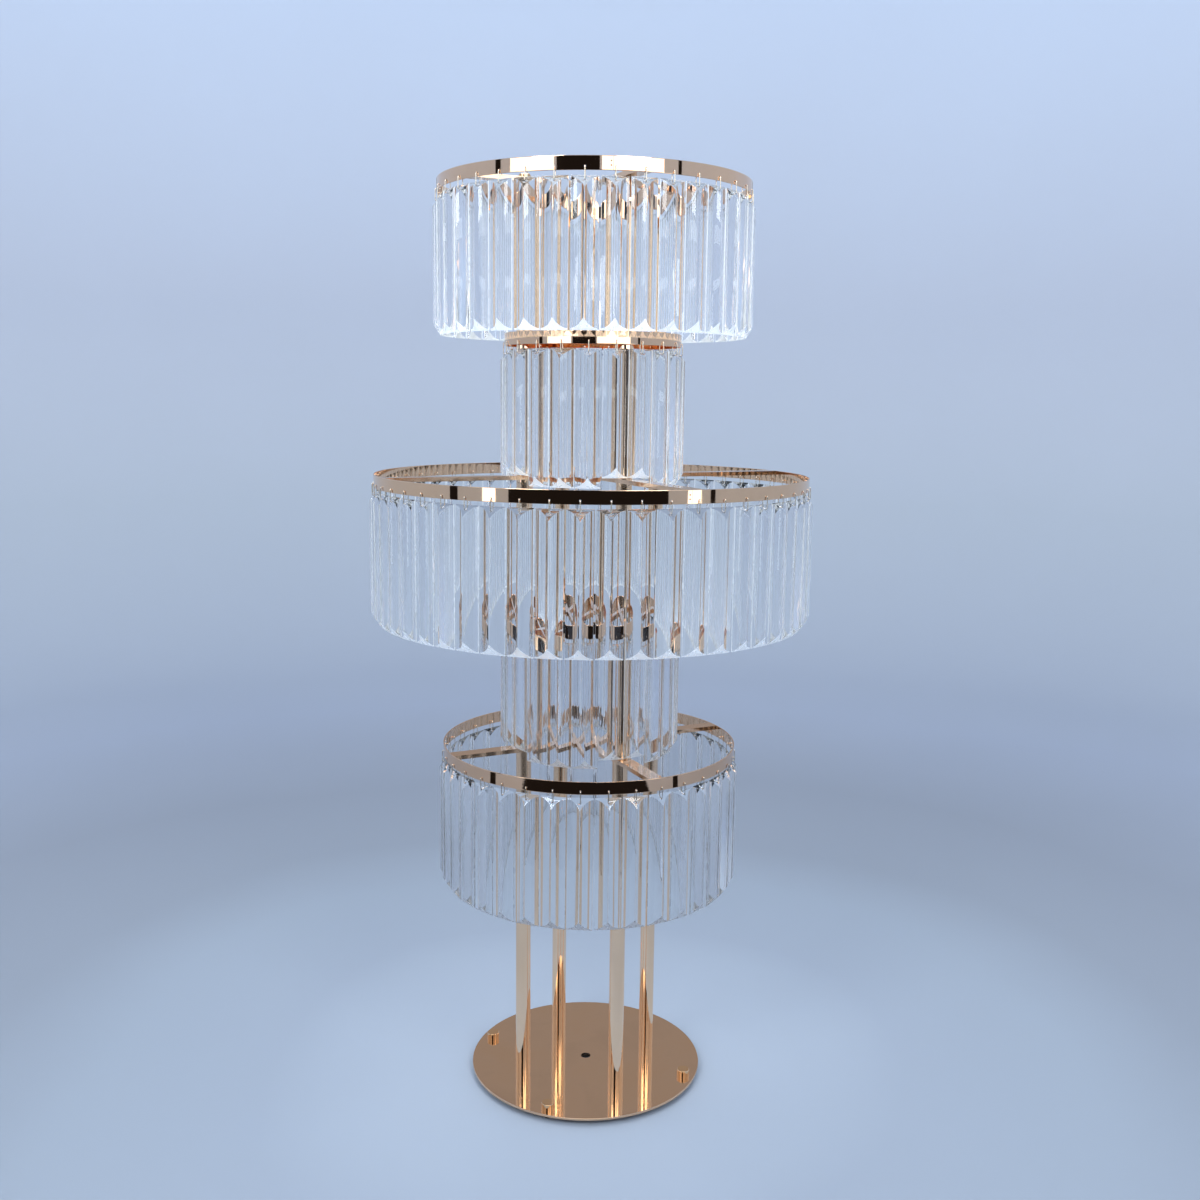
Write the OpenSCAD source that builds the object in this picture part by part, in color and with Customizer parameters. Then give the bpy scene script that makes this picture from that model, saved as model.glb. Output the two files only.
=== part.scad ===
// Free-standing tiered display stand: four posts carry five round bands hung with glass prisms.
// Millimetres, +Z up. The origin is on the floor, under the centre of the base plate.
// The posts and the cross bars lie along X and Y, and the feet lie on the diagonals.
// The tiers are numbered from the floor up: bottom, lower, middle, upper, top.

/* [Base plate] */
// Diameter of the base plate
plate_d = 300; // [260:1:400]
// Thickness of the base plate
plate_t = 3; // [2:0.5:8]
// Diameter of the hole in the middle of the base plate
plate_hole_d = 13; // [6:0.5:30]
// Chamfer on the edge of the base plate
plate_chamfer = 0.4; // [0.1:0.1:0.8]

/* [Feet] */
// Distance from the edge of the base plate to the middle of a foot
foot_inset = 15; // [12:1:25]
// Diameter of a foot under the base plate
foot_d = 12; // [9:0.5:20]
// Height of the glide pad that a foot stands on
pad_h = 3.5; // [3:0.5:8]
// Height of the round flange of a foot screw
flange_h = 3.6; // [2:0.1:6]
// Thread diameter of a foot screw
foot_thread_d = 6; // [4:1:8]
// Length of thread above the flange of a foot screw
foot_thread_l = 7.8; // [6:0.1:12]
// Diameter of the barrel nut on top of the base plate
barrel_d = 16; // [12:0.5:20]
// Height of the barrel nut
barrel_h = 8; // [6:0.5:12]

/* [Posts] */
// Distance of the posts from the middle of the stand
post_r = 90; // [70:1:92]
// Outside diameter of a post tube
post_d = 19; // [14:0.5:22]
// Wall of a post tube
post_wall = 1.2; // [0.8:0.1:2]
// Length of the tubes under the bottom tier
post_bottom_l = 432; // [330:1:600]
// Length of the tubes between the bottom and the lower tier
post_lower_l = 166; // [140:1:240]
// Length of the tubes between the lower and the middle tier
post_middle_l = 162; // [140:1:240]
// Length of the tubes between the middle and the upper tier
post_upper_l = 164; // [140:1:240]
// Length of the tubes between the upper and the top tier
post_top_l = 171; // [140:1:240]
// Length of the threaded plug in each end of a tube
plug_l = 14; // [10:1:20]
// Thread diameter of the studs and screws that join the posts
stud_d = 8; // [5:1:10]
// Depth that a stud or screw reaches into a plug
stud_grip = 10; // [6:0.5:13]
// Diameter of the head of a base bolt or top screw
head_d = 14; // [11:0.5:16]
// Height of the head of a base bolt or top screw
head_h = 4.2; // [2:0.1:5]

/* [Bands] */
// Outside diameter of the bottom band
bottom_d = 370; // [300:1:500]
// Outside diameter of the lower band
lower_d = 215; // [214:1:280]
// Outside diameter of the middle band
middle_d = 533; // [420:1:700]
// Outside diameter of the upper band
upper_d = 215; // [214:1:280]
// Outside diameter of the top band
top_d = 375; // [300:1:500]
// Height of a band
band_h = 15; // [12:0.5:24]
// Thickness of a band
band_t = 1.5; // [1:0.1:3]
// Height of the row of holes above the lower edge of a band
hole_up = 4; // [3:0.1:5]
// Diameter of the holes in a band
hole_d = 2.2; // [2:0.1:3]
// Angle of the first hole in the bottom band
bottom_start = 2.2; // [0:0.1:10]
// Angle of the first hole in the lower band
lower_start = 2.4; // [0:0.1:10]
// Angle of the first hole in the middle band
middle_start = 0.2; // [0:0.1:7]
// Angle of the first hole in the upper band
upper_start = 2.4; // [0:0.1:10]
// Angle of the first hole in the top band
top_start = 1.8; // [0:0.1:10]

/* [Cross bars] */
// Width of the flat bars that carry a band
bar_w = 18; // [12:0.5:24]
// Thickness of the flat bars
bar_t = 5; // [3:0.5:6]

/* [Prisms] */
// Width of a glass prism
prism_w = 30; // [22:0.5:40]
// Thickness of a glass prism from its flat back to its front ridge
prism_depth = 9; // [7:0.5:10]
// Length of a glass prism
prism_l = 160; // [120:1:200]
// Height of the sloping cut at each end of a prism
prism_cut = 12.5; // [8:0.5:18]
// Radius of the hollow flanks of a prism
flank_r = 19; // [15:0.5:60]
// Thickness of a prism at its side edges, and width of its ridge
prism_edge = 1.2; // [0.8:0.1:2]
// Gap between the prisms, measured along the band
prism_gap = 2; // [2:0.1:6]
// How far the ridge of a prism stands out past its band
prism_proud = 5.2; // [4:0.1:6]
// Gap between the lower edge of a band and its prisms
prism_drop = 4.6; // [3.5:0.1:8]
// Depth of the hole in a prism below its top
prism_hole_down = 5.5; // [5:0.1:7]
// Diameter of the hole in a prism
prism_hole_d = 2; // [1.8:0.1:2.5]

/* [Wire links] */
// Diameter of the wire of a link
wire_d = 1; // [0.8:0.1:1.2]
// Radius of the corners of a link, at the middle of the wire
link_corner_r = 1.2; // [1:0.1:1.5]
// Gap between a link and the outside of its band
link_front_gap = 1; // [0.8:0.1:2]
// Gap between a link and the back of its prism
link_back_gap = 0.2; // [0.1:0.05:0.5]

/* [Clearances] */
// Radial clearance of a thread, pin or plug in its hole
fit_gap = 0.05; // [0.02:0.01:0.1]
// Gap between two faces that move on each other
face_gap = 0.1; // [0.05:0.05:0.3]
// Gap between the flange of a foot screw and the base plate
foot_gap = 0.3; // [0.2:0.1:1]
// Radial clearance of a stud or bolt in a bar or in the base plate
bolt_gap = 0.25; // [0.1:0.05:0.5]
// Least gap between a prism and a cross bar beside or below it
bar_gap = 1.5; // [1:0.1:5]

/* [Hidden] */
TIERS = ["bottom", "lower", "middle", "upper", "top"];
FEET = [1, 2, 3, 4];
SWINGS = [1, 2]; // the two prisms of each tier that swing by themselves
SWING_ANGLES = [225, 45]; // both are halfway between two posts, where a prism swings clear

$fn = 48;
eps = 0.01; // extra depth of a cut beyond a face
wire_fn = 24;
gold = "#C9A67C";
dark_gold = "#A98A63";
steel = "#B9BBBE";
rubber = "#3A3432";
glass = [0.80, 0.88, 0.96, 0.45];

post_l = [post_bottom_l, post_lower_l, post_middle_l, post_upper_l, post_top_l];
band_d = [bottom_d, lower_d, middle_d, upper_d, top_d];
first_hole = [bottom_start, lower_start, middle_start, upper_start, top_start];
tier_ids = [0 : len(TIERS) - 1];

function total(v, n) = n <= 0 ? 0 : v[n - 1] + total(v, n - 1);

plate_z = pad_h + face_gap + flange_h + foot_gap; // underside of the base plate
plate_top = plate_z + plate_t;
foot_r = plate_d / 2 - foot_inset;
post_in_d = post_d - 2 * post_wall;
plug_bore_d = stud_d + 2 * fit_gap;
barrel_roof = 1.5; // metal left over the blind thread of a barrel nut
socket_d = foot_d * 0.4 + 2 * fit_gap; // the pin of a foot screw turns in this socket of the pad
socket_depth = 2;

function post_start(t) = plate_top + total(post_l, t) + t * bar_t;
function post_end(t) = post_start(t) + post_l[t];
function band_top(t) = post_end(t) + bar_t;
function band_bottom(t) = band_top(t) - band_h;
function band_r(t) = band_d[t] / 2;

// Prisms: one for each full step of prism and gap that fits round the band
function prism_count(t) = floor(PI * band_d[t] / (prism_w + prism_gap));
function prism_angle(t, i) = first_hole[t] + i * 360 / prism_count(t);
function swing_index(t, s) = round((SWING_ANGLES[s - 1] - first_hole[t]) * prism_count(t) / 360);
function is_fixed(t, i) = len([for (s = SWINGS) if (swing_index(t, s) == i) s]) == 0;
function prism_back(t) = band_r(t) + prism_proud - prism_depth;
function prism_top(t) = band_bottom(t) - prism_drop;

// A prism over a cross bar of the tier below is cut short, so that it clears the bar
function off_axis(a) = abs((a + 45) - 90 * floor((a + 45) / 90) - 45);
function is_over_bar(t, a) =
    t > 0 && band_d[t] < band_d[max(t - 1, 0)] &&
    prism_back(t) * sin(off_axis(a)) - prism_w / 2 * cos(off_axis(a)) < bar_w / 2 + bar_gap;
function room_below(t) = prism_top(t) - band_top(t - 1) - bar_gap;
function prism_length(t, a) = is_over_bar(t, a) ? min(prism_l, room_below(t)) : prism_l;

// The wire of a link runs through the middle of the band's hole and holds the prism by its hole
function link_top(t) = band_bottom(t) + hole_up;
link_rest = prism_hole_d / 2 - wire_d / 2 - fit_gap; // the wire lies this far above the hole's middle
link_h = hole_up + prism_drop + prism_hole_down - link_rest;
link_front = link_front_gap + wire_d / 2; // both from the outside of the band
link_back = prism_proud - prism_depth - link_back_gap - wire_d / 2;

module at_posts() {
    for (a = [0 : 90 : 270])
        rotate([0, 0, a])
            translate([post_r, 0, 0]) children();
}

module at_foot(f) {
    rotate([0, 0, 45 + 90 * (f - 1)])
        translate([foot_r, 0, 0]) children();
}

module at_prism(t, i) {
    rotate([0, 0, prism_angle(t, i)])
        translate([band_r(t), 0, 0]) children();
}

// A round bar along Z with a chamfer at its upper edge, and at its lower edge too where both is true
module turned(d, h, chamfer, both = false) {
    low = both ? chamfer : 0;
    rotate_extrude()
        polygon([
            [0, 0], [d / 2 - low, 0], [d / 2, low],
            [d / 2, h - chamfer], [d / 2 - chamfer, h], [0, h]
        ]);
}

module base_plate() {
    color(gold)
        difference() {
            translate([0, 0, plate_z]) turned(plate_d, plate_t, plate_chamfer, true);
            translate([0, 0, plate_z - eps]) cylinder(d = plate_hole_d, h = plate_t + 2 * eps);
            at_posts()
                translate([0, 0, plate_z - eps])
                    cylinder(d = stud_d + 2 * bolt_gap, h = plate_t + 2 * eps);
            for (f = FEET)
                at_foot(f)
                    translate([0, 0, plate_z - eps])
                        cylinder(d = foot_thread_d + 2 * fit_gap, h = plate_t + 2 * eps);
        }
}

module foot_barrels() {
    color(gold)
        for (f = FEET)
            at_foot(f)
                translate([0, 0, plate_top])
                    difference() {
                        turned(barrel_d, barrel_h, 0.6);
                        translate([0, 0, -eps])
                            cylinder(d = foot_thread_d + 2 * fit_gap, h = barrel_h - barrel_roof + eps);
                    }
}

module foot_pad(f) {
    color(rubber)
        at_foot(f)
            difference() {
                turned(foot_d, pad_h, 0.5, true);
                translate([0, 0, pad_h - socket_depth]) cylinder(d = socket_d, h = socket_depth + eps);
            }
}

module foot_screw(f) {
    pin_l = socket_depth - face_gap;
    color(gold)
        at_foot(f)
            translate([0, 0, pad_h + face_gap]) {
                turned(foot_d, flange_h, 0.3, true);
                translate([0, 0, -pin_l]) cylinder(d = socket_d - 2 * fit_gap, h = pin_l + eps);
                translate([0, 0, flange_h - eps]) turned(foot_thread_d, foot_thread_l + eps, 0.5);
            }
}

// A screw along Z with its head down: shank from the head's flat face up, hexagon socket in the head
module head_screw(shank_l) {
    socket_w = head_d * 0.4;
    difference() {
        union() {
            translate([0, 0, -head_h]) rotate([180, 0, 0]) translate([0, 0, -head_h]) turned(head_d, head_h, 1);
            turned(stud_d, shank_l, 0.5);
        }
        translate([0, 0, -head_h - eps]) cylinder(d = socket_w, h = head_h / 2, $fn = 6);
    }
}

module base_bolts() {
    color(steel)
        at_posts()
            translate([0, 0, plate_z]) head_screw(plate_t + stud_grip);
}

module top_screws() {
    last = len(TIERS) - 1;
    color(gold)
        at_posts()
            translate([0, 0, band_top(last)])
                rotate([180, 0, 0]) head_screw(bar_t + stud_grip);
}

module post_plug() {
    difference() {
        cylinder(d = post_in_d - 2 * fit_gap, h = plug_l);
        translate([0, 0, -eps]) cylinder(d = plug_bore_d, h = plug_l + 2 * eps);
    }
}

module post_plugs() {
    color(steel)
        for (t = tier_ids)
            at_posts() {
                translate([0, 0, post_start(t)]) post_plug();
                translate([0, 0, post_end(t) - plug_l]) post_plug();
            }
}

module post_studs() {
    color(steel)
        for (t = [0 : len(TIERS) - 2])
            at_posts()
                translate([0, 0, post_end(t) - stud_grip])
                    turned(stud_d, 2 * stud_grip + bar_t, 0.5, true);
}

module posts(t) {
    color(gold)
        at_posts()
            translate([0, 0, post_start(t)])
                difference() {
                    cylinder(d = post_d, h = post_l[t]);
                    translate([0, 0, -eps]) cylinder(d = post_in_d, h = post_l[t] + 2 * eps);
                }
}

module band(t) {
    color(gold)
        difference() {
            translate([0, 0, band_bottom(t)]) cylinder(r = band_r(t), h = band_h, $fn = 180);
            translate([0, 0, band_bottom(t) - eps])
                cylinder(r = band_r(t) - band_t, h = band_h + 2 * eps, $fn = 180);
            for (i = [0 : prism_count(t) - 1])
                at_prism(t, i)
                    translate([-2 * band_t, 0, link_top(t)])
                        rotate([0, 90, 0]) cylinder(d = hole_d, h = 3 * band_t, $fn = wire_fn);
        }
}

// Two flat bars, one across the other, with their ends rounded to the inside of the band
module cross(t) {
    color(dark_gold)
        difference() {
            intersection() {
                translate([0, 0, post_end(t)])
                    union() {
                        translate([-band_r(t), -bar_w / 2, 0]) cube([2 * band_r(t), bar_w, bar_t]);
                        translate([-bar_w / 2, -band_r(t), 0]) cube([bar_w, 2 * band_r(t), bar_t]);
                    }
                translate([0, 0, post_end(t) - eps])
                    cylinder(r = band_r(t) - band_t, h = bar_t + 2 * eps, $fn = 180);
            }
            at_posts()
                translate([0, 0, post_end(t) - eps])
                    cylinder(d = stud_d + 2 * bolt_gap, h = bar_t + 2 * eps);
        }
}

// Section of a prism: a flat back on X = 0, two hollow flanks and a narrow ridge at the front
module prism_section() {
    side = [prism_edge, prism_w / 2];
    ridge = [prism_depth, prism_edge / 2];
    chord = norm(ridge - side);
    along = (ridge - side) / chord;
    outward = [-along[1], along[0]];
    centre = (side + ridge) / 2 + outward * sqrt(flank_r * flank_r - chord * chord / 4);
    difference() {
        polygon([
            [0, -side[1]], [side[0], -side[1]], [ridge[0], -ridge[1]],
            ridge, side, [0, side[1]]
        ]);
        for (flip = [0, 1])
            mirror([0, flip])
                translate(centre) circle(r = flank_r, $fn = 96);
    }
}

// Takes the part of a prism in front of a plane that slopes from its flat back, at Z = 0
module end_cut() {
    slope = atan2(prism_cut, prism_depth);
    size = 4 * (prism_cut + prism_depth);
    rotate([0, slope, 0]) translate([-size / 2, -prism_w, 0]) cube([size, 2 * prism_w, size]);
}

// A prism with its back on X = 0 and its top edge at Z = 0
module prism(length) {
    difference() {
        translate([0, 0, -length]) linear_extrude(length) prism_section();
        end_cut();
        translate([0, 0, -length]) mirror([0, 0, 1]) end_cut();
        translate([-prism_depth, 0, -prism_hole_down])
            rotate([0, 90, 0]) cylinder(d = prism_hole_d, h = 3 * prism_depth, $fn = wire_fn);
    }
}

module hung_prism(t, i) {
    color(glass)
        at_prism(t, i)
            translate([prism_proud - prism_depth, 0, prism_top(t)])
                prism(prism_length(t, prism_angle(t, i)));
}

// A closed loop of wire in the plane Y = 0, with its top run at Z = 0
module link() {
    r = link_corner_r;
    for (z = [0, -link_h])
        translate([link_back + r, 0, z])
            rotate([0, 90, 0]) cylinder(d = wire_d, h = link_front - link_back - 2 * r, $fn = wire_fn);
    for (x = [link_back, link_front])
        translate([x, 0, -link_h + r]) cylinder(d = wire_d, h = link_h - 2 * r, $fn = wire_fn);
    for (corner = [[link_front - r, -r, 0], [link_back + r, -r, 90],
                   [link_back + r, r - link_h, 180], [link_front - r, r - link_h, 270]])
        translate([corner[0], 0, corner[1]])
            rotate([90, 0, 0])
                rotate([0, 0, corner[2]])
                    rotate_extrude(angle = 90, $fn = wire_fn)
                        translate([r, 0]) circle(d = wire_d, $fn = wire_fn);
}

module hung_link(t, i) {
    color(steel)
        at_prism(t, i)
            translate([0, 0, link_top(t)]) link();
}

module prisms(t) {
    for (i = [0 : prism_count(t) - 1])
        if (is_fixed(t, i)) hung_prism(t, i);
}

module links(t) {
    for (i = [0 : prism_count(t) - 1])
        if (is_fixed(t, i)) hung_link(t, i);
}

base_plate();
foot_barrels();
for (f = FEET) {
    foot_pad(f);
    foot_screw(f);
}
base_bolts();
post_plugs();
post_studs();
top_screws();
for (t = tier_ids) {
    posts(t);
    band(t);
    cross(t);
    prisms(t);
    links(t);
    for (s = SWINGS) {
        hung_prism(t, swing_index(t, s));
        hung_link(t, swing_index(t, s));
    }
}
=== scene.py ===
import math
import random

import bmesh
import bpy
from mathutils import Matrix, Vector


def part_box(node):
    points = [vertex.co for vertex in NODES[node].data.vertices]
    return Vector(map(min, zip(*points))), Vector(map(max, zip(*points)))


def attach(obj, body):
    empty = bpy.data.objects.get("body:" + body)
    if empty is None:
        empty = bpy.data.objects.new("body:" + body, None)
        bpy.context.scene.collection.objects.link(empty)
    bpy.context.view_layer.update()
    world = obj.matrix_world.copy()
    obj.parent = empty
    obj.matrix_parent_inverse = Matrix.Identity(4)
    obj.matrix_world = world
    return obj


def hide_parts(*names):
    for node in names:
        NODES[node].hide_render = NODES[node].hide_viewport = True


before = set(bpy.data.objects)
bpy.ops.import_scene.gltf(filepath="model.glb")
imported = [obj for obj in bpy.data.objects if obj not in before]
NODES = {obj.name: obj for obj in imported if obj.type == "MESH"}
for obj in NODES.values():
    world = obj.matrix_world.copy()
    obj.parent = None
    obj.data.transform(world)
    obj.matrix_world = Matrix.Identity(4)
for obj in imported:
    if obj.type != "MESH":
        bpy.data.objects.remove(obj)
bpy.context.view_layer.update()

MM = 0.001
TIERS = ("bottom", "lower", "middle", "upper", "top")
SWINGS = (1, 2)  # the numbers of each tier's two swinging prisms

# ---------------------------------------------------------------------------
# Directions as the photograph's camera sees them, in the part's own frame
# ---------------------------------------------------------------------------
CAM_AZIMUTH = math.radians(245)
TOWARD = Vector((math.cos(CAM_AZIMUTH), math.sin(CAM_AZIMUTH), 0))
RIGHT = Vector((-TOWARD.y, TOWARD.x, 0))
UP = Vector((0, 0, 1))


def spot(right, toward, up):
    """A point given from the middle of the stand's foot, as the camera sees it, in metres."""
    return RIGHT * right + TOWARD * toward + UP * up


def around(azimuth, distance, height):
    """A point given by its angle to the right of the camera, seen from the stand's axis."""
    turn = math.radians(azimuth)
    return spot(distance * math.sin(turn), distance * math.cos(turn), height)


# ---------------------------------------------------------------------------
# Objects and meshes
# ---------------------------------------------------------------------------
def add_object(name, data):
    obj = bpy.data.objects.new(name, data)
    bpy.context.scene.collection.objects.link(obj)
    return obj


def finished(name, bm):
    """The mesh of a bmesh, which is freed."""
    mesh = bpy.data.meshes.new(name)
    bm.to_mesh(mesh)
    bm.free()
    return mesh


def smooth(mesh):
    for face in mesh.polygons:
        face.use_smooth = True


def ring_point(angle, radius, z):
    return Vector((radius * math.cos(angle), radius * math.sin(angle), z))


# ---------------------------------------------------------------------------
# Materials
# ---------------------------------------------------------------------------
EVEN = (1, 1, 1)


class Tree:
    """A material's node tree with short calls for the few nodes used here.

    An input's name is written with _ for a space. It takes a constant or another node's output.
    """

    def __init__(self, name):
        self.mat = bpy.data.materials.new(name)
        self.mat.use_nodes = True
        self.nodes = self.mat.node_tree.nodes
        self.links = self.mat.node_tree.links
        self.nodes.clear()
        self.bsdf = self.add("BsdfPrincipled")
        self.add("OutputMaterial", Surface=self.bsdf.outputs[0])
        self.coord = self.add("TexCoord").outputs["Object"]

    def fill(self, socket, value):
        if isinstance(value, bpy.types.NodeSocket):
            self.links.new(value, socket)
        else:
            socket.default_value = value

    def add(self, kind, **inputs):
        node = self.nodes.new("ShaderNode" + kind)
        for key, value in inputs.items():
            self.fill(node.inputs[key.replace("_", " ")], value)
        return node

    def set(self, **inputs):
        """Fills inputs of the surface shader."""
        for key, value in inputs.items():
            self.fill(self.bsdf.inputs[key.replace("_", " ")], value)

    def scaled(self, scale):
        return self.add("Mapping", Vector=self.coord, Scale=scale).outputs[0]

    def noise(self, scale, detail=4.0, rough=0.5, distort=0.0, stretch=EVEN):
        return self.add("TexNoise", Vector=self.scaled(stretch), Scale=scale, Detail=detail,
                        Roughness=rough, Distortion=distort).outputs["Fac"]

    def ramp(self, fac, stops):
        """A colour by a value: stops are pairs of place and colour, in order."""
        node = self.add("ValToRGB", Fac=fac)
        elements = node.color_ramp.elements
        elements[0].position, elements[0].color = stops[0]
        elements[1].position, elements[1].color = stops[-1]
        for place, color in stops[1:-1]:
            elements.new(place).color = color
        return node.outputs["Color"]

    def span(self, fac, low, high, start=0.3, end=0.7):
        """A value that runs from low to high while fac runs from start to end."""
        return self.add("MapRange", Value=fac, From_Min=start, From_Max=end,
                        To_Min=low, To_Max=high).outputs["Result"]

    def bump(self, height, strength, distance, **normal):
        return self.add("Bump", Strength=strength, Distance=distance, Height=height,
                        **normal).outputs["Normal"]

    def height(self):
        """The height above the floor, as every piece keeps the part's own origin."""
        return self.add("SeparateXYZ", Vector=self.coord).outputs["Z"]


DULL, WARM_GREEN, WARM_BLUE = 0.93, 0.97, 0.92  # how the gold's colour drifts in patches
HAIRLINE_SCALE, HAIRLINE_DEPTH = 260, 0.0004
WAVE_DEPTH = 0.002
GLASS_IOR = 1.52


def gold(name, color, smudge, wave, stretch=EVEN):
    """Polished gold plating: faint smudges, hairline polishing marks and a slow waviness.

    smudge is the range of roughness, wave the scale and strength of the waviness, and stretch
    draws the hairlines out along one direction.
    """
    t = Tree(name)
    red, green, blue = color[:3]
    dull = (red * DULL, green * DULL, blue * DULL, 1)
    warm = (red, green * WARM_GREEN, blue * WARM_BLUE, 1)
    slow = t.bump(t.noise(wave[0], 2, 0.4), wave[1], WAVE_DEPTH)
    hair = t.noise(HAIRLINE_SCALE, 2, 0.5, 0.0, stretch)
    t.set(Base_Color=t.ramp(t.noise(9, 5, 0.6, 0.4), [(0.32, dull), (0.5, color), (0.7, warm)]),
          Metallic=1.0,
          Roughness=t.span(t.noise(34, 6, 0.65, 0.6), *smudge, 0.42, 0.72),
          Normal=t.bump(hair, 0.012, HAIRLINE_DEPTH, Normal=slow))
    return t.mat


def steel(name):
    """Bright zinc-plated steel with a mottled, faintly blue passivation."""
    t = Tree(name)
    patch = t.noise(140, 6, 0.6, 0.8)
    t.set(Base_Color=t.ramp(patch, [(0.3, (0.50, 0.52, 0.55, 1)), (0.5, (0.60, 0.61, 0.62, 1)),
                                    (0.7, (0.66, 0.65, 0.60, 1))]),
          Metallic=1.0,
          Roughness=t.span(patch, 0.25, 0.42),
          Normal=t.bump(t.noise(900, 3), 0.15, 0.0003))
    return t.mat


def rubber(name):
    """Moulded dark rubber with a fine grain and patches of dust."""
    t = Tree(name)
    dust = t.noise(160, 6, 0.7)
    t.set(Base_Color=t.ramp(dust, [(0.35, (0.030, 0.024, 0.021, 1)), (0.7, (0.075, 0.064, 0.058, 1))]),
          Roughness=t.span(dust, 0.62, 0.88),
          Normal=t.bump(t.noise(1400, 3, 0.6), 0.35, 0.0003))
    return t.mat


def crystal(name):
    """Clear pressed glass: nearly colourless, slightly wavy along its length, with faint haze."""
    t = Tree(name)
    tint = t.ramp(t.noise(11, 3, 0.5), [(0.3, (0.982, 0.993, 0.998, 1)), (0.7, (0.996, 1.0, 1.0, 1))])
    ripple = t.noise(26, 2, 0.4, 0.2, (1, 1, 0.3))
    t.set(IOR=GLASS_IOR, Transmission_Weight=1.0, Base_Color=tint,
          Roughness=t.span(t.noise(70, 4, 0.6), 0.0, 0.012, 0.5, 0.8),
          Normal=t.bump(ripple, 0.03, 0.0012))
    return t.mat


PAINTED_EDGE_GLOW = (0.05, 0.42)  # painted glow on the frosted edges, standing in for the light the clear glass pipes to them, low and high
PAINTED_EDGE_GLOW_HEIGHT = (0.35, 1.05)  # where on the stand low and high are


def frosted_edge_painted_glow(name):
    """A prism's narrow sides, edges and lower cut: the same glass left slightly frosted, with painted
    light on it. Its colour runs from grey low on the stand to near white high up, and a painted glow
    grows the same way.
    """
    t = Tree(name)
    frost = t.noise(120, 4, 0.6, 0.4, (1, 1, 0.4))
    painted_light = t.span(t.height(), 0.0, 1.0, *PAINTED_EDGE_GLOW_HEIGHT)
    # Painted light: the base colour is darker low on the stand and lighter high up, and the emission is
    # a painted glow, both set by height.
    t.set(IOR=GLASS_IOR,
          Transmission_Weight=t.span(frost, 0.35, 0.75),
          Base_Color=t.ramp(painted_light, [(0.0, (0.42, 0.43, 0.46, 1)), (0.4, (0.80, 0.85, 0.90, 1)),
                                  (1.0, (0.98, 0.99, 1.0, 1))]),
          Roughness=t.span(frost, 0.18, 0.40),
          Emission_Color=(0.86, 0.95, 1.0, 1),
          Emission_Strength=t.span(painted_light, *PAINTED_EDGE_GLOW, 0.0, 1.0),
          Normal=t.bump(t.noise(700, 3), 0.2, 0.0002))
    return t.mat


GOLD_PLATE = gold("gold_plate_disc", (0.85, 0.56, 0.36, 1), (0.035, 0.10), (5, 0.03))
GOLD_TUBE = gold("gold_post_tube", (0.98, 0.70, 0.47, 1), (0.03, 0.08), (14, 0.02), (1, 1, 0.05))
GOLD_BAND = gold("gold_band_strip", (0.90, 0.60, 0.39, 1), (0.02, 0.07), (12, 0.05), (0.6, 0.6, 5))
GOLD_BAR = gold("gold_cross_bar", (0.88, 0.58, 0.37, 1), (0.06, 0.14), (9, 0.03), (4, 4, 1))
GOLD_FITTING = gold("gold_turned_fitting", (0.88, 0.55, 0.30, 1), (0.04, 0.10), (30, 0.02), (1, 1, 9))
WIRE = gold("pale_gold_wire", (0.90, 0.80, 0.66, 1), (0.08, 0.16), (60, 0.02))
# Dark brown of the seam pieces. On the hairline it is the dark joint. On the weld marks it is partly
# the weld's own tint and partly painted shade: the marks are built raised, and the colour stands in for
# the shade in the real recessed dimples.
WELD_TINT_AND_PAINTED_SHADE = gold("weld_tint_and_painted_shade", (0.30, 0.19, 0.12, 1), (0.25, 0.45), (80, 0.03))
STEEL = steel("zinc_steel")
RUBBER = rubber("glide_rubber")
GLASS = (crystal("prism_crystal"), frosted_edge_painted_glow("prism_edge"))
CLEAR, FROSTED_PAINTED_GLOW = 0, 1  # places in GLASS


def paint(obj, material):
    """Gives every face of a CAD node the same material."""
    if not obj.data.materials:
        obj.data.materials.append(material)
    for k in range(len(obj.data.materials)):
        obj.data.materials[k] = material


def piece(name, bm, materials, body, slot_name, *replaced, sharp=20):
    """A finished mesh as an object that rides on a body and may stand for CAD nodes."""
    mesh = finished(name, bm)
    smooth(mesh)
    mesh.set_sharp_from_angle(angle=math.radians(sharp))
    obj = add_object(name, mesh)
    for material in materials:
        mesh.materials.append(material)
    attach(obj, body)
    if replaced:
        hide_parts(*replaced)


# ---------------------------------------------------------------------------
# Crystal prisms
# ---------------------------------------------------------------------------
PRISM_W, PRISM_DEPTH, PRISM_EDGE = 30 * MM, 9 * MM, 1.2 * MM
PRISM_CUT = 12.5 * MM  # how far each end slopes back
FLANK_R, FLANK_STEPS = 19 * MM, 12
HOLE_DOWN, HOLE_R, HOLE_STEPS = 5.5 * MM, 1 * MM, 20
SOFT_EDGE, SOFT_STEPS, SOFT_ANGLE = 0.3 * MM, 2, math.radians(25)
YAW, SWAY = math.radians(2.4), math.radians(0.22)  # most that a prism hangs out of true
NEAR = 0.02 * MM

PRISM_MESHES = {}
luck = random.Random(7)


def islands(node):
    """The separate solids of a CAD node, each as a list of points."""
    bm = bmesh.new()
    bm.from_mesh(node.data)
    bmesh.ops.remove_doubles(bm, verts=bm.verts, dist=1e-6)
    seen, found = set(), []
    for start in bm.verts:
        if start.index in seen:
            continue
        stack, group = [start], []
        seen.add(start.index)
        while stack:
            vert = stack.pop()
            group.append(vert.co.copy())
            for edge in vert.link_edges:
                other = edge.other_vert(vert)
                if other.index not in seen:
                    seen.add(other.index)
                    stack.append(other)
        found.append(group)
    bm.free()
    return found


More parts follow.
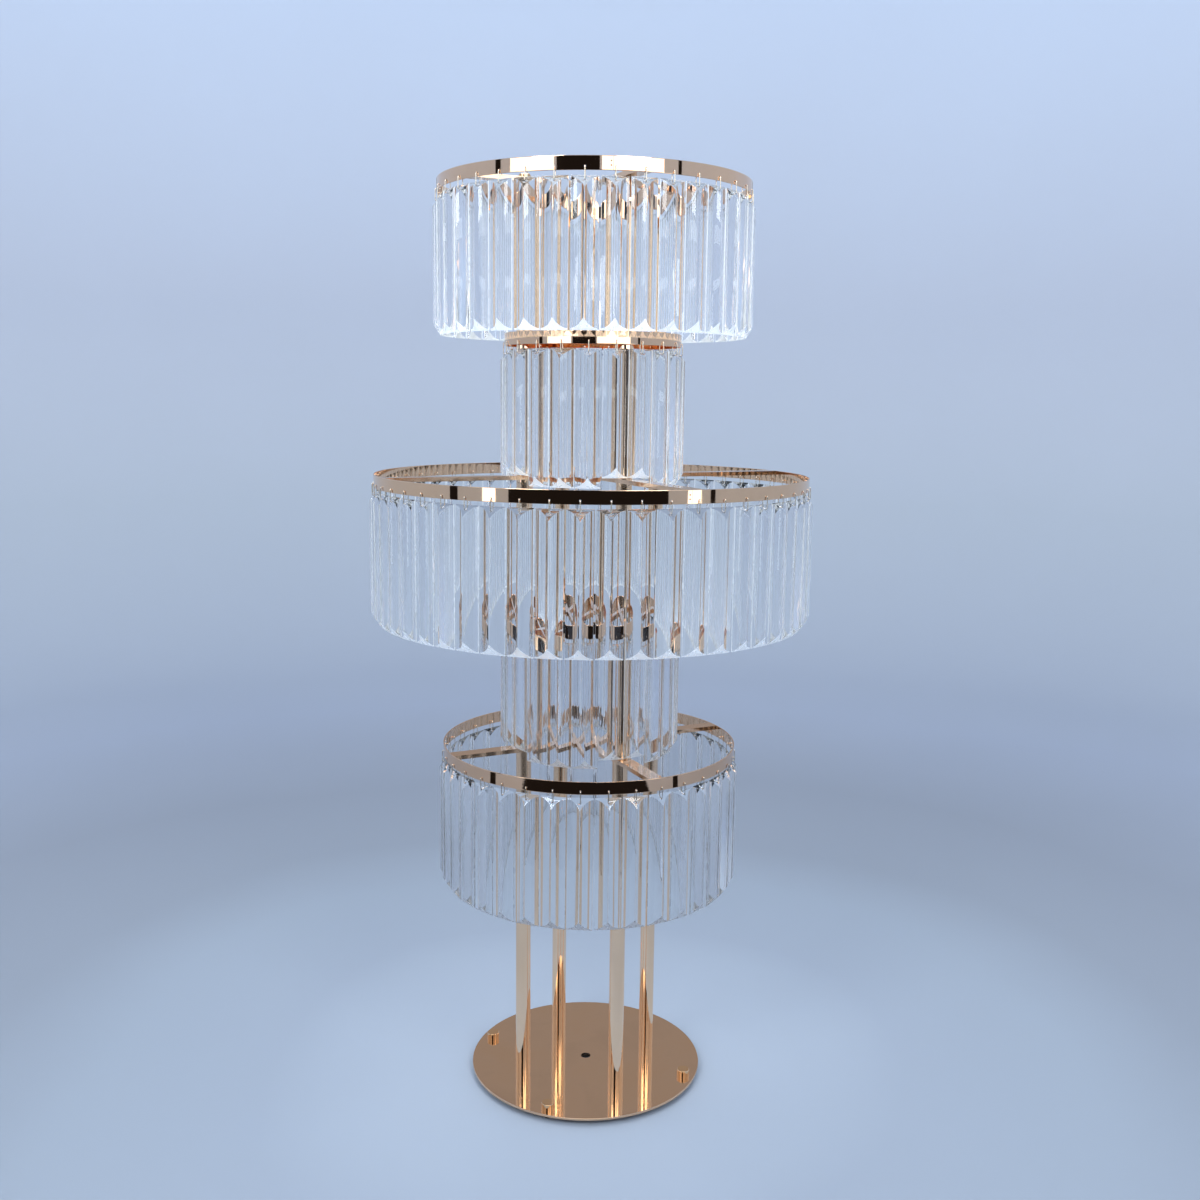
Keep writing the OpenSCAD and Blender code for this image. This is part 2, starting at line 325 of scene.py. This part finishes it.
def prism_place(points):
    """Angle round the stand, radius of the ridge, top and bottom of one prism's solid."""
    far = max(math.hypot(p.x, p.y) for p in points)
    ridge = [p for p in points if math.hypot(p.x, p.y) > far - NEAR]
    x, y = sum(p.x for p in ridge), sum(p.y for p in ridge)
    angle = math.atan2(y, x)
    reach = max(p.x * math.cos(angle) + p.y * math.sin(angle) for p in points)
    return angle, reach, max(p.z for p in points), min(p.z for p in points)


def prism_section():
    """Outline of a prism: flat back at x = 0, hollow flanks, narrow ridge at x = depth."""
    side = Vector((PRISM_EDGE, PRISM_W / 2))
    ridge = Vector((PRISM_DEPTH, PRISM_EDGE / 2))
    chord = ridge - side
    along = chord.normalized()
    outward = Vector((-along.y, along.x))
    centre = (side + ridge) / 2 + outward * math.sqrt(FLANK_R ** 2 - chord.length_squared / 4)
    start = math.atan2(side.y - centre.y, side.x - centre.x)
    end = math.atan2(ridge.y - centre.y, ridge.x - centre.x)
    turn = (end - start + math.pi) % (2 * math.pi) - math.pi
    half = [Vector((0, PRISM_W / 2))]
    for k in range(FLANK_STEPS + 1):
        angle = start + turn * k / FLANK_STEPS
        half.append(centre + Vector((math.cos(angle), math.sin(angle))) * FLANK_R)
    return half + [Vector((p.x, -p.y)) for p in reversed(half)]


def drill_mesh():
    """What is cut away for a prism's hole."""
    bm = bmesh.new()
    bmesh.ops.create_cone(bm, cap_ends=True, segments=HOLE_STEPS, radius1=HOLE_R, radius2=HOLE_R,
                          depth=4 * PRISM_DEPTH)
    turn = Matrix.Translation((PRISM_DEPTH / 2, 0, -HOLE_DOWN)) @ Matrix.Rotation(math.pi / 2, 4, "Y")
    bmesh.ops.transform(bm, matrix=turn, verts=bm.verts)
    return finished("prism_drill", bm)


def prism_mesh(length):
    """One prism, top edge of its back at the origin, with its hole and polished edges."""
    outline = prism_section()
    count = len(outline)
    bm = bmesh.new()
    top = [bm.verts.new((p.x, p.y, -p.x * PRISM_CUT / PRISM_DEPTH)) for p in outline]
    low = [bm.verts.new((p.x, p.y, -length + p.x * PRISM_CUT / PRISM_DEPTH)) for p in outline]
    for k in range(count):
        nxt = (k + 1) % count
        wall = bm.faces.new((top[k], low[k], low[nxt], top[nxt]))
        wall.material_index = FROSTED_PAINTED_GLOW if k in (0, count - 2) else CLEAR
    bm.faces.new(top)
    bm.faces.new(list(reversed(low))).material_index = FROSTED_PAINTED_GLOW
    bmesh.ops.recalc_face_normals(bm, faces=bm.faces)
    body = finished("prism_body", bm)
    for material in GLASS:
        body.materials.append(material)

    drill = add_object("prism_drill", drill_mesh())
    work = add_object("prism_work", body)
    cut = work.modifiers.new("hole", "BOOLEAN")
    cut.operation, cut.object, cut.solver = "DIFFERENCE", drill, "EXACT"
    soft = work.modifiers.new("edges", "BEVEL")
    soft.width, soft.segments, soft.limit_method = SOFT_EDGE, SOFT_STEPS, "ANGLE"
    soft.angle_limit = SOFT_ANGLE
    soft.use_clamp_overlap = True
    soft.material = FROSTED_PAINTED_GLOW
    made = bpy.data.meshes.new_from_object(work.evaluated_get(bpy.context.evaluated_depsgraph_get()))
    bpy.data.objects.remove(work)
    bpy.data.objects.remove(drill)
    return made


def add_prism(bm, place):
    """Adds one prism to a mesh, hung as its solid hangs, with a slight turn and sway of its own."""
    angle, reach, top, low = place
    length = round((top - low) / MM, 1)
    if length not in PRISM_MESHES:
        PRISM_MESHES[length] = prism_mesh(length * MM)
    middle = Matrix.Translation((PRISM_DEPTH / 2, 0, 0))
    turned = middle @ Matrix.Rotation(luck.uniform(-YAW, YAW), 4, "Z") @ middle.inverted()
    hole = Matrix.Translation((0, 0, -HOLE_DOWN))
    swayed = hole @ Matrix.Rotation(luck.uniform(-SWAY, SWAY), 4, "X") @ hole.inverted()
    hung = Matrix.Rotation(angle, 4, "Z") @ Matrix.Translation((reach - PRISM_DEPTH, 0, top))
    before = len(bm.verts)
    bm.from_mesh(PRISM_MESHES[length])
    bm.verts.ensure_lookup_table()
    bmesh.ops.transform(bm, matrix=hung @ turned @ swayed, verts=bm.verts[before:])


for tier in TIERS:
    bm = bmesh.new()
    for place in sorted(prism_place(points) for points in islands(NODES["prisms_" + tier])):
        add_prism(bm, place)
    piece("crystals_" + tier, bm, GLASS, "stand", "prism_glass", "prisms_" + tier)
    for s in SWINGS:
        name = f"swing_prism_{tier}_{s}"
        bm = bmesh.new()
        add_prism(bm, prism_place(islands(NODES[name])[0]))
        piece(f"crystal_{tier}_{s}", bm, GLASS, f"swing_{tier}_{s}", "prism_glass", name)

# ---------------------------------------------------------------------------
# Gold rings with their row of holes
# ---------------------------------------------------------------------------
BAND_T, BAND_HOLE_R, BAND_HOLE_UP = 1.5 * MM, 1.1 * MM, 4 * MM
BAND_SOFT, BAND_ROUND = 0.25 * MM, 0.3  # width of the softened edge, and where its middle lies
BAND_RIM = 0.6 * MM  # from the ring's edge to the first row of its flat face
CELL, CELL_STEPS = 2.4 * MM, 4  # half width of the square of mesh round a hole, and its steps
CELL_ROW = 4  # the row of the mesh where the cells start
RING_STEPS = 10  # columns of mesh between two holes


def band_rows(wall, into, low, high, cell_z):
    """Radius and height of each row of one wall of a ring, from its lower edge to its upper."""
    soft = [(wall + into * BAND_SOFT, 0),
            (wall + into * BAND_SOFT * BAND_ROUND, BAND_SOFT * BAND_ROUND),
            (wall, BAND_SOFT)]
    above = high - BAND_RIM - cell_z[-1]
    flat = [low + BAND_RIM, *cell_z, cell_z[-1] + above * 0.5, cell_z[-1] + above]
    return ([(r, low + up) for r, up in soft] + [(wall, z) for z in flat]
            + [(r, high - down) for r, down in reversed(soft)])


def cell_edge(grid, column):
    """The points round a square cell of the mesh."""
    count, last = len(grid[0]), CELL_ROW + CELL_STEPS
    steps = range(CELL_STEPS)
    return ([grid[CELL_ROW][(column + j) % count] for j in steps]
            + [grid[CELL_ROW + j][(column + CELL_STEPS) % count] for j in steps]
            + [grid[last][(column + CELL_STEPS - j) % count] for j in steps]
            + [grid[last - j][column] for j in steps])


def band_mesh(radius, low, high, hole_z, angles):
    """A round strip with softened edges. Each hole sits in a square cell of the mesh."""
    bm = bmesh.new()
    angles = sorted(a % (2 * math.pi) for a in angles)
    columns, holes = [], []
    half = CELL / radius
    for k, a in enumerate(angles):
        nxt = angles[(k + 1) % len(angles)] + (2 * math.pi if k == len(angles) - 1 else 0)
        holes.append(len(columns))
        columns += [a - half + 2 * half * j / CELL_STEPS for j in range(CELL_STEPS)]
        start, stop = a + half, nxt - half
        columns += [start + (stop - start) * j / RING_STEPS for j in range(RING_STEPS)]
    count = len(columns)
    cell_z = [hole_z - CELL + 2 * CELL * j / CELL_STEPS for j in range(CELL_STEPS + 1)]
    walls = (radius, radius - BAND_T)
    grids = [[[bm.verts.new(ring_point(a, r, z)) for a in columns]
              for r, z in band_rows(wall, into, low, high, cell_z)]
             for wall, into in zip(walls, (-1, 1))]

    cells = {(CELL_ROW + i, (c + j) % count)
             for c in holes for i in range(CELL_STEPS) for j in range(CELL_STEPS)}
    for grid in grids:
        for r, (row, above) in enumerate(zip(grid, grid[1:])):
            for c in range(count):
                if (r, c) not in cells:
                    n = (c + 1) % count
                    bm.faces.new((row[c], row[n], above[n], above[c]))
    for r in (0, -1):
        outer, inner = grids[0][r], grids[1][r]
        for c in range(count):
            n = (c + 1) % count
            bm.faces.new((outer[c], outer[n], inner[n], inner[c]))
    for k, c in enumerate(holes):
        rims = []
        for grid, wall in zip(grids, walls):
            edge = cell_edge(grid, c)
            rim = []
            for j in range(len(edge)):
                turn = math.radians(-135 + 360 * j / len(edge))
                side, rise = BAND_HOLE_R * math.cos(turn), BAND_HOLE_R * math.sin(turn)
                rim.append(bm.verts.new(ring_point(angles[k] + side / radius, wall, hole_z + rise)))
            for j in range(len(edge)):
                n = (j + 1) % len(edge)
                bm.faces.new((edge[j], edge[n], rim[n], rim[j]))
            rims.append(rim)
        for j in range(len(rims[0])):
            n = (j + 1) % len(rims[0])
            bm.faces.new((rims[0][j], rims[0][n], rims[1][n], rims[1][j]))
    unused = [v for v in bm.verts if not v.link_faces]  # inside the cells
    bmesh.ops.delete(bm, geom=unused, context="VERTS")
    bmesh.ops.recalc_face_normals(bm, faces=bm.faces)
    return bm


for tier in TIERS:
    prisms = ["prisms_" + tier] + [f"swing_prism_{tier}_{s}" for s in SWINGS]
    angles = [prism_place(points)[0] for name in prisms for points in islands(NODES[name])]
    lo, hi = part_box("band_" + tier)
    bm = band_mesh(hi.x, lo.z, hi.z, lo.z + BAND_HOLE_UP, angles)
    piece("ring_" + tier, bm, (GOLD_BAND,), "stand", "gold_band", "band_" + tier, sharp=40)

# ---------------------------------------------------------------------------
# The joint where each strip was closed to a ring: a hairline and a pair of spot-weld marks
# ---------------------------------------------------------------------------
SEAM_AT = {"middle": 22.8, "top": 5.3}  # degrees to the right of the camera
SEAM_W, SEAM_SHORT, SEAM_ASIDE = 0.4 * MM, 1.2 * MM, 2.4 * MM
MARK_R, MARK_RISE = 0.95 * MM, 0.10 * MM
MARK_DOWN = (5.2 * MM, 9.8 * MM)  # from the top of the ring

for tier, degrees in SEAM_AT.items():
    lo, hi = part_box("band_" + tier)
    turn = Matrix.Rotation(CAM_AZIMUTH + math.radians(degrees), 4, "Z")
    face = turn @ Matrix.Translation((hi.x, 0, 0))
    bm = bmesh.new()
    for down in MARK_DOWN:
        mark = Matrix.Translation((0, 0, hi.z - down)) @ Matrix.Diagonal((MARK_RISE / MARK_R, 1, 1, 1))
        bmesh.ops.create_uvsphere(bm, u_segments=16, v_segments=10, radius=MARK_R, matrix=face @ mark)
    line = Matrix.Translation((0, SEAM_ASIDE, (hi.z + lo.z) / 2)) \
        @ Matrix.Diagonal((MARK_RISE / 2, SEAM_W, hi.z - lo.z - SEAM_SHORT, 1))
    bmesh.ops.create_cube(bm, size=1, matrix=face @ line)
    piece("seam_" + tier, bm, (WELD_TINT_AND_PAINTED_SHADE,), "stand", "gold_band")

# ---------------------------------------------------------------------------
# CAD nodes that stay, with their finish
# ---------------------------------------------------------------------------
FINISH = {
    "base_plate": GOLD_PLATE, "foot_barrels": GOLD_FITTING, "foot_screw": GOLD_FITTING,
    "foot_pad": RUBBER, "base_bolts": STEEL, "top_screws": GOLD_FITTING, "post_plugs": STEEL,
    "post_studs": STEEL, "posts": GOLD_TUBE, "cross": GOLD_BAR, "links": WIRE, "swing_link": WIRE,
}
for name, node in NODES.items():
    if not node.hide_render:
        kind = max((k for k in FINISH if name.startswith(k)), key=len)
        paint(node, FINISH[kind])

# ---------------------------------------------------------------------------
# Floor and backdrop: one smooth bowl, so that every side has the same plain surround
# ---------------------------------------------------------------------------
FLOOR_RINGS = (0.4, 0.9, 1.5, 2.4)
BEND_R, BEND_STEPS, WALL_TOP = 1.2, 18, 5.0
BOWL_STEPS = 96
BACKDROP_RUN = 8.0  # metres out along the floor and up the wall that the painted shading covers
BACKDROP_BLUR, BLUR_MEAN = 0.25, 0.12
BACKDROP_PAINTED_SHADING = [  # share of the run, and colour: painted light and shade, lighter by the stand's foot, a painted shadow in a band out on the floor, lighter again up the wall
    (0.020, (0.400, 0.465, 0.555, 1)), (0.055, (0.302, 0.353, 0.430, 1)),
    (0.085, (0.285, 0.335, 0.405, 1)), (0.112, (0.245, 0.282, 0.340, 1)),
    (0.160, (0.242, 0.276, 0.335, 1)), (0.250, (0.311, 0.357, 0.446, 1)),
    (0.480, (0.448, 0.500, 0.566, 1)), (0.610, (0.575, 0.620, 0.705, 1)),
    (0.740, (0.665, 0.745, 0.870, 1)),
]


def bowl_mesh():
    profile = [(r, 0.0) for r in FLOOR_RINGS]
    for k in range(1, BEND_STEPS + 1):
        a = math.pi / 2 * k / BEND_STEPS
        profile.append((FLOOR_RINGS[-1] + BEND_R * math.sin(a), BEND_R - BEND_R * math.cos(a)))
    profile.append((FLOOR_RINGS[-1] + BEND_R, WALL_TOP))
    bm = bmesh.new()
    rings = [[bm.verts.new(ring_point(2 * math.pi * k / BOWL_STEPS, r, z)) for k in range(BOWL_STEPS)]
             for r, z in profile]
    middle = bm.verts.new((0, 0, 0))
    for k in range(BOWL_STEPS):
        n = (k + 1) % BOWL_STEPS
        bm.faces.new((middle, rings[0][k], rings[0][n]))
        for a, b in zip(rings, rings[1:]):
            bm.faces.new((a[k], b[k], b[n], a[n]))
    return finished("backdrop", bm)


def bowl_painted_shading():
    """Cloth with painted light and shade: its colour follows the distance out along the floor and then
    up the wall.
    """
    t = Tree("backdrop_cloth_painted_shading")
    radius = t.add("VectorMath", Vector=t.scaled((1, 1, 0)))
    radius.operation = "LENGTH"
    run = t.add("Math")
    t.links.new(radius.outputs["Value"], run.inputs[0])
    t.links.new(t.height(), run.inputs[1])
    blur = t.add("Math")
    blur.operation = "MULTIPLY_ADD"
    for socket, value in zip(blur.inputs, (t.noise(1.3, 2, 0.4), BACKDROP_BLUR, run.outputs[0])):
        t.fill(socket, value)
    share = t.span(blur.outputs[0], 0.0, 1.0, BLUR_MEAN, BLUR_MEAN + BACKDROP_RUN)
    t.set(Base_Color=t.ramp(share, BACKDROP_PAINTED_SHADING), Roughness=0.95, Specular_IOR_Level=0.0,
          Normal=t.bump(t.noise(3, 3), 0.1, 0.01))
    return t.mat


backdrop = add_object("backdrop", bowl_mesh())
smooth(backdrop.data)
backdrop.data.materials.append(bowl_painted_shading())

# ---------------------------------------------------------------------------
# Flags and reflectors: what the metal and the glass have round them to reflect
# ---------------------------------------------------------------------------
BLACK = (0.012, 0.011, 0.012, 1)
GREY = (0.33, 0.33, 0.35, 1)
PALE = (1.25, 1.35, 1.42, 1)
WHITE = (2.5, 2.75, 2.9, 1)
FLOOR = UP * 0.004  # just above the floor


def card(name, centre, facing, width, height, color, along=UP, through=False):
    """A card seen only in reflections and, where through is set, in what passes through glass."""
    w, h = width / 2, height / 2
    mesh = bpy.data.meshes.new(name)
    mesh.from_pydata([(-w, -h, 0), (w, -h, 0), (w, h, 0), (-w, h, 0)], [], [(0, 1, 2, 3)])
    obj = add_object(name, mesh)
    normal = (facing - centre).normalized()
    side = along.cross(normal).normalized()
    turned = Matrix((side, normal.cross(side), normal)).transposed()
    obj.matrix_world = Matrix.Translation(centre) @ turned.to_4x4()
    mat = bpy.data.materials.new(name)
    mat.use_nodes = True
    nodes = mat.node_tree.nodes
    nodes.clear()
    out, glow = nodes.new("ShaderNodeOutputMaterial"), nodes.new("ShaderNodeEmission")
    glow.inputs["Color"].default_value = color
    mat.node_tree.links.new(glow.outputs[0], out.inputs["Surface"])
    mesh.materials.append(mat)
    obj.visible_camera = obj.visible_diffuse = obj.visible_shadow = False
    obj.visible_transmission = through
    return obj


def upright(name, azimuth, distance, width, low, high, color, through=False):
    """A standing card that faces the stand."""
    centre = around(azimuth, distance, (low + high) / 2)
    return card(name, centre, spot(0, 0, centre.z), width, high - low, color, through=through)


card("flag_behind_camera", spot(-0.1, 2.2, 0.475), spot(-0.1, 0, 0.475), 3.45, 0.95, BLACK,
     through=True)
card("flag_floor", spot(-0.05, 1.6, 0) + FLOOR, spot(-0.05, 1.6, 1), 2.2, 1.2, BLACK, TOWARD,
     through=True)
card("flag_high", spot(-0.46, 2.2, 1.475), spot(-0.46, 0, 1.475), 1.17, 1.05, BLACK, through=True)
card("grey_above", spot(0, -2.5, 1.475), spot(0, 0, 1.475), 1.8, 1.05, GREY)
upright("flag_left", -68, 1.95, 0.16, 0.0, 2.0, BLACK)
upright("flag_right", 59, 2.1, 0.10, 0.0, 2.0, BLACK)
for name, azimuth, width in (("flag_left_foot", -74, 0.14), ("flag_right_foot", 66, 0.12)):
    card(name, around(azimuth, 1.5, 0) + FLOOR, around(azimuth, 1.5, 1), width, 0.7, BLACK,
         around(azimuth, 1, 0))
for row, low, high in (("low", 0.99, 1.08), ("high", 1.40, 1.56)):  # one for each ring above the camera
    upright("white_left_" + row, -43, 2.25, 1.26, low, high, WHITE)
    upright("white_right_" + row, 26, 2.32, 1.80, low, high, WHITE)
for name, azimuth, width in (("glow_left", -43, 1.26), ("glow_right", 26, 1.80)):  # for the glass only
    upright(name, azimuth, 2.3, width, 1.0, 1.9, PALE, through=True).visible_glossy = False
upright("strip_left", -49, 2.2, 0.26, 0.45, 0.98, WHITE)
upright("strip_right", 49.5, 2.25, 0.28, 0.45, 0.98, WHITE)

# ---------------------------------------------------------------------------
# Light
# ---------------------------------------------------------------------------
MIDDLE = UP * 0.8
COOL, NEUTRAL = (0.97, 0.99, 1.0), (1.0, 1.0, 1.0)


def softbox(name, centre, target, size, power, color):
    data = bpy.data.lights.new(name, "AREA")
    data.shape, data.size, data.size_y = "RECTANGLE", size, size
    data.energy, data.color = power, color
    obj = add_object(name, data)
    obj.location = centre
    obj.rotation_mode = "QUATERNION"
    obj.rotation_quaternion = (centre - target).to_track_quat("Z", "Y")


softbox("box_left", spot(-1.3, 2.0, 2.0), MIDDLE, 0.9, 26, COOL)
softbox("box_right", spot(1.05, 2.0, 2.05), MIDDLE, 0.9, 22, COOL)
softbox("box_top", spot(0.0, -0.2, 3.4), spot(0, 0, 0), 2.4, 62, NEUTRAL)

world = bpy.data.worlds.new("studio")
bpy.context.scene.world = world
world.use_nodes = True
sky = world.node_tree.nodes["Background"]
sky.inputs["Color"].default_value = (0.92, 0.96, 1.0, 1)
sky.inputs["Strength"].default_value = 1.15

# ---------------------------------------------------------------------------
# Camera
# ---------------------------------------------------------------------------
CAM_PLACE = Vector((-0.6644, -1.4236, 0.8855))
CAM_YAW, CAM_PITCH, CAM_ROLL = math.radians(-0.46), math.radians(9.33), math.radians(0.67)

camera = add_object("camera", bpy.data.cameras.new("camera"))
camera.data.lens, camera.data.sensor_width = 37.97, 36.0
camera.data.clip_start, camera.data.clip_end = 0.01, 50
level = -TOWARD * math.cos(CAM_YAW) - RIGHT * math.sin(CAM_YAW)
ahead = level * math.cos(CAM_PITCH) - UP * math.sin(CAM_PITCH)
across = ahead.cross(UP).normalized()
over = across.cross(ahead)
across, over = (across * math.cos(CAM_ROLL) + over * math.sin(CAM_ROLL),
                over * math.cos(CAM_ROLL) - across * math.sin(CAM_ROLL))
aim = Matrix((across, over, -ahead)).transposed()
camera.matrix_world = Matrix.Translation(CAM_PLACE) @ aim.to_4x4()

scene = bpy.context.scene
scene.camera = camera
scene.view_settings.view_transform = "Standard"
scene.cycles.max_bounces = 24
scene.cycles.transmission_bounces = 24
scene.cycles.glossy_bounces = 8
scene.cycles.sample_clamp_indirect = 6.0
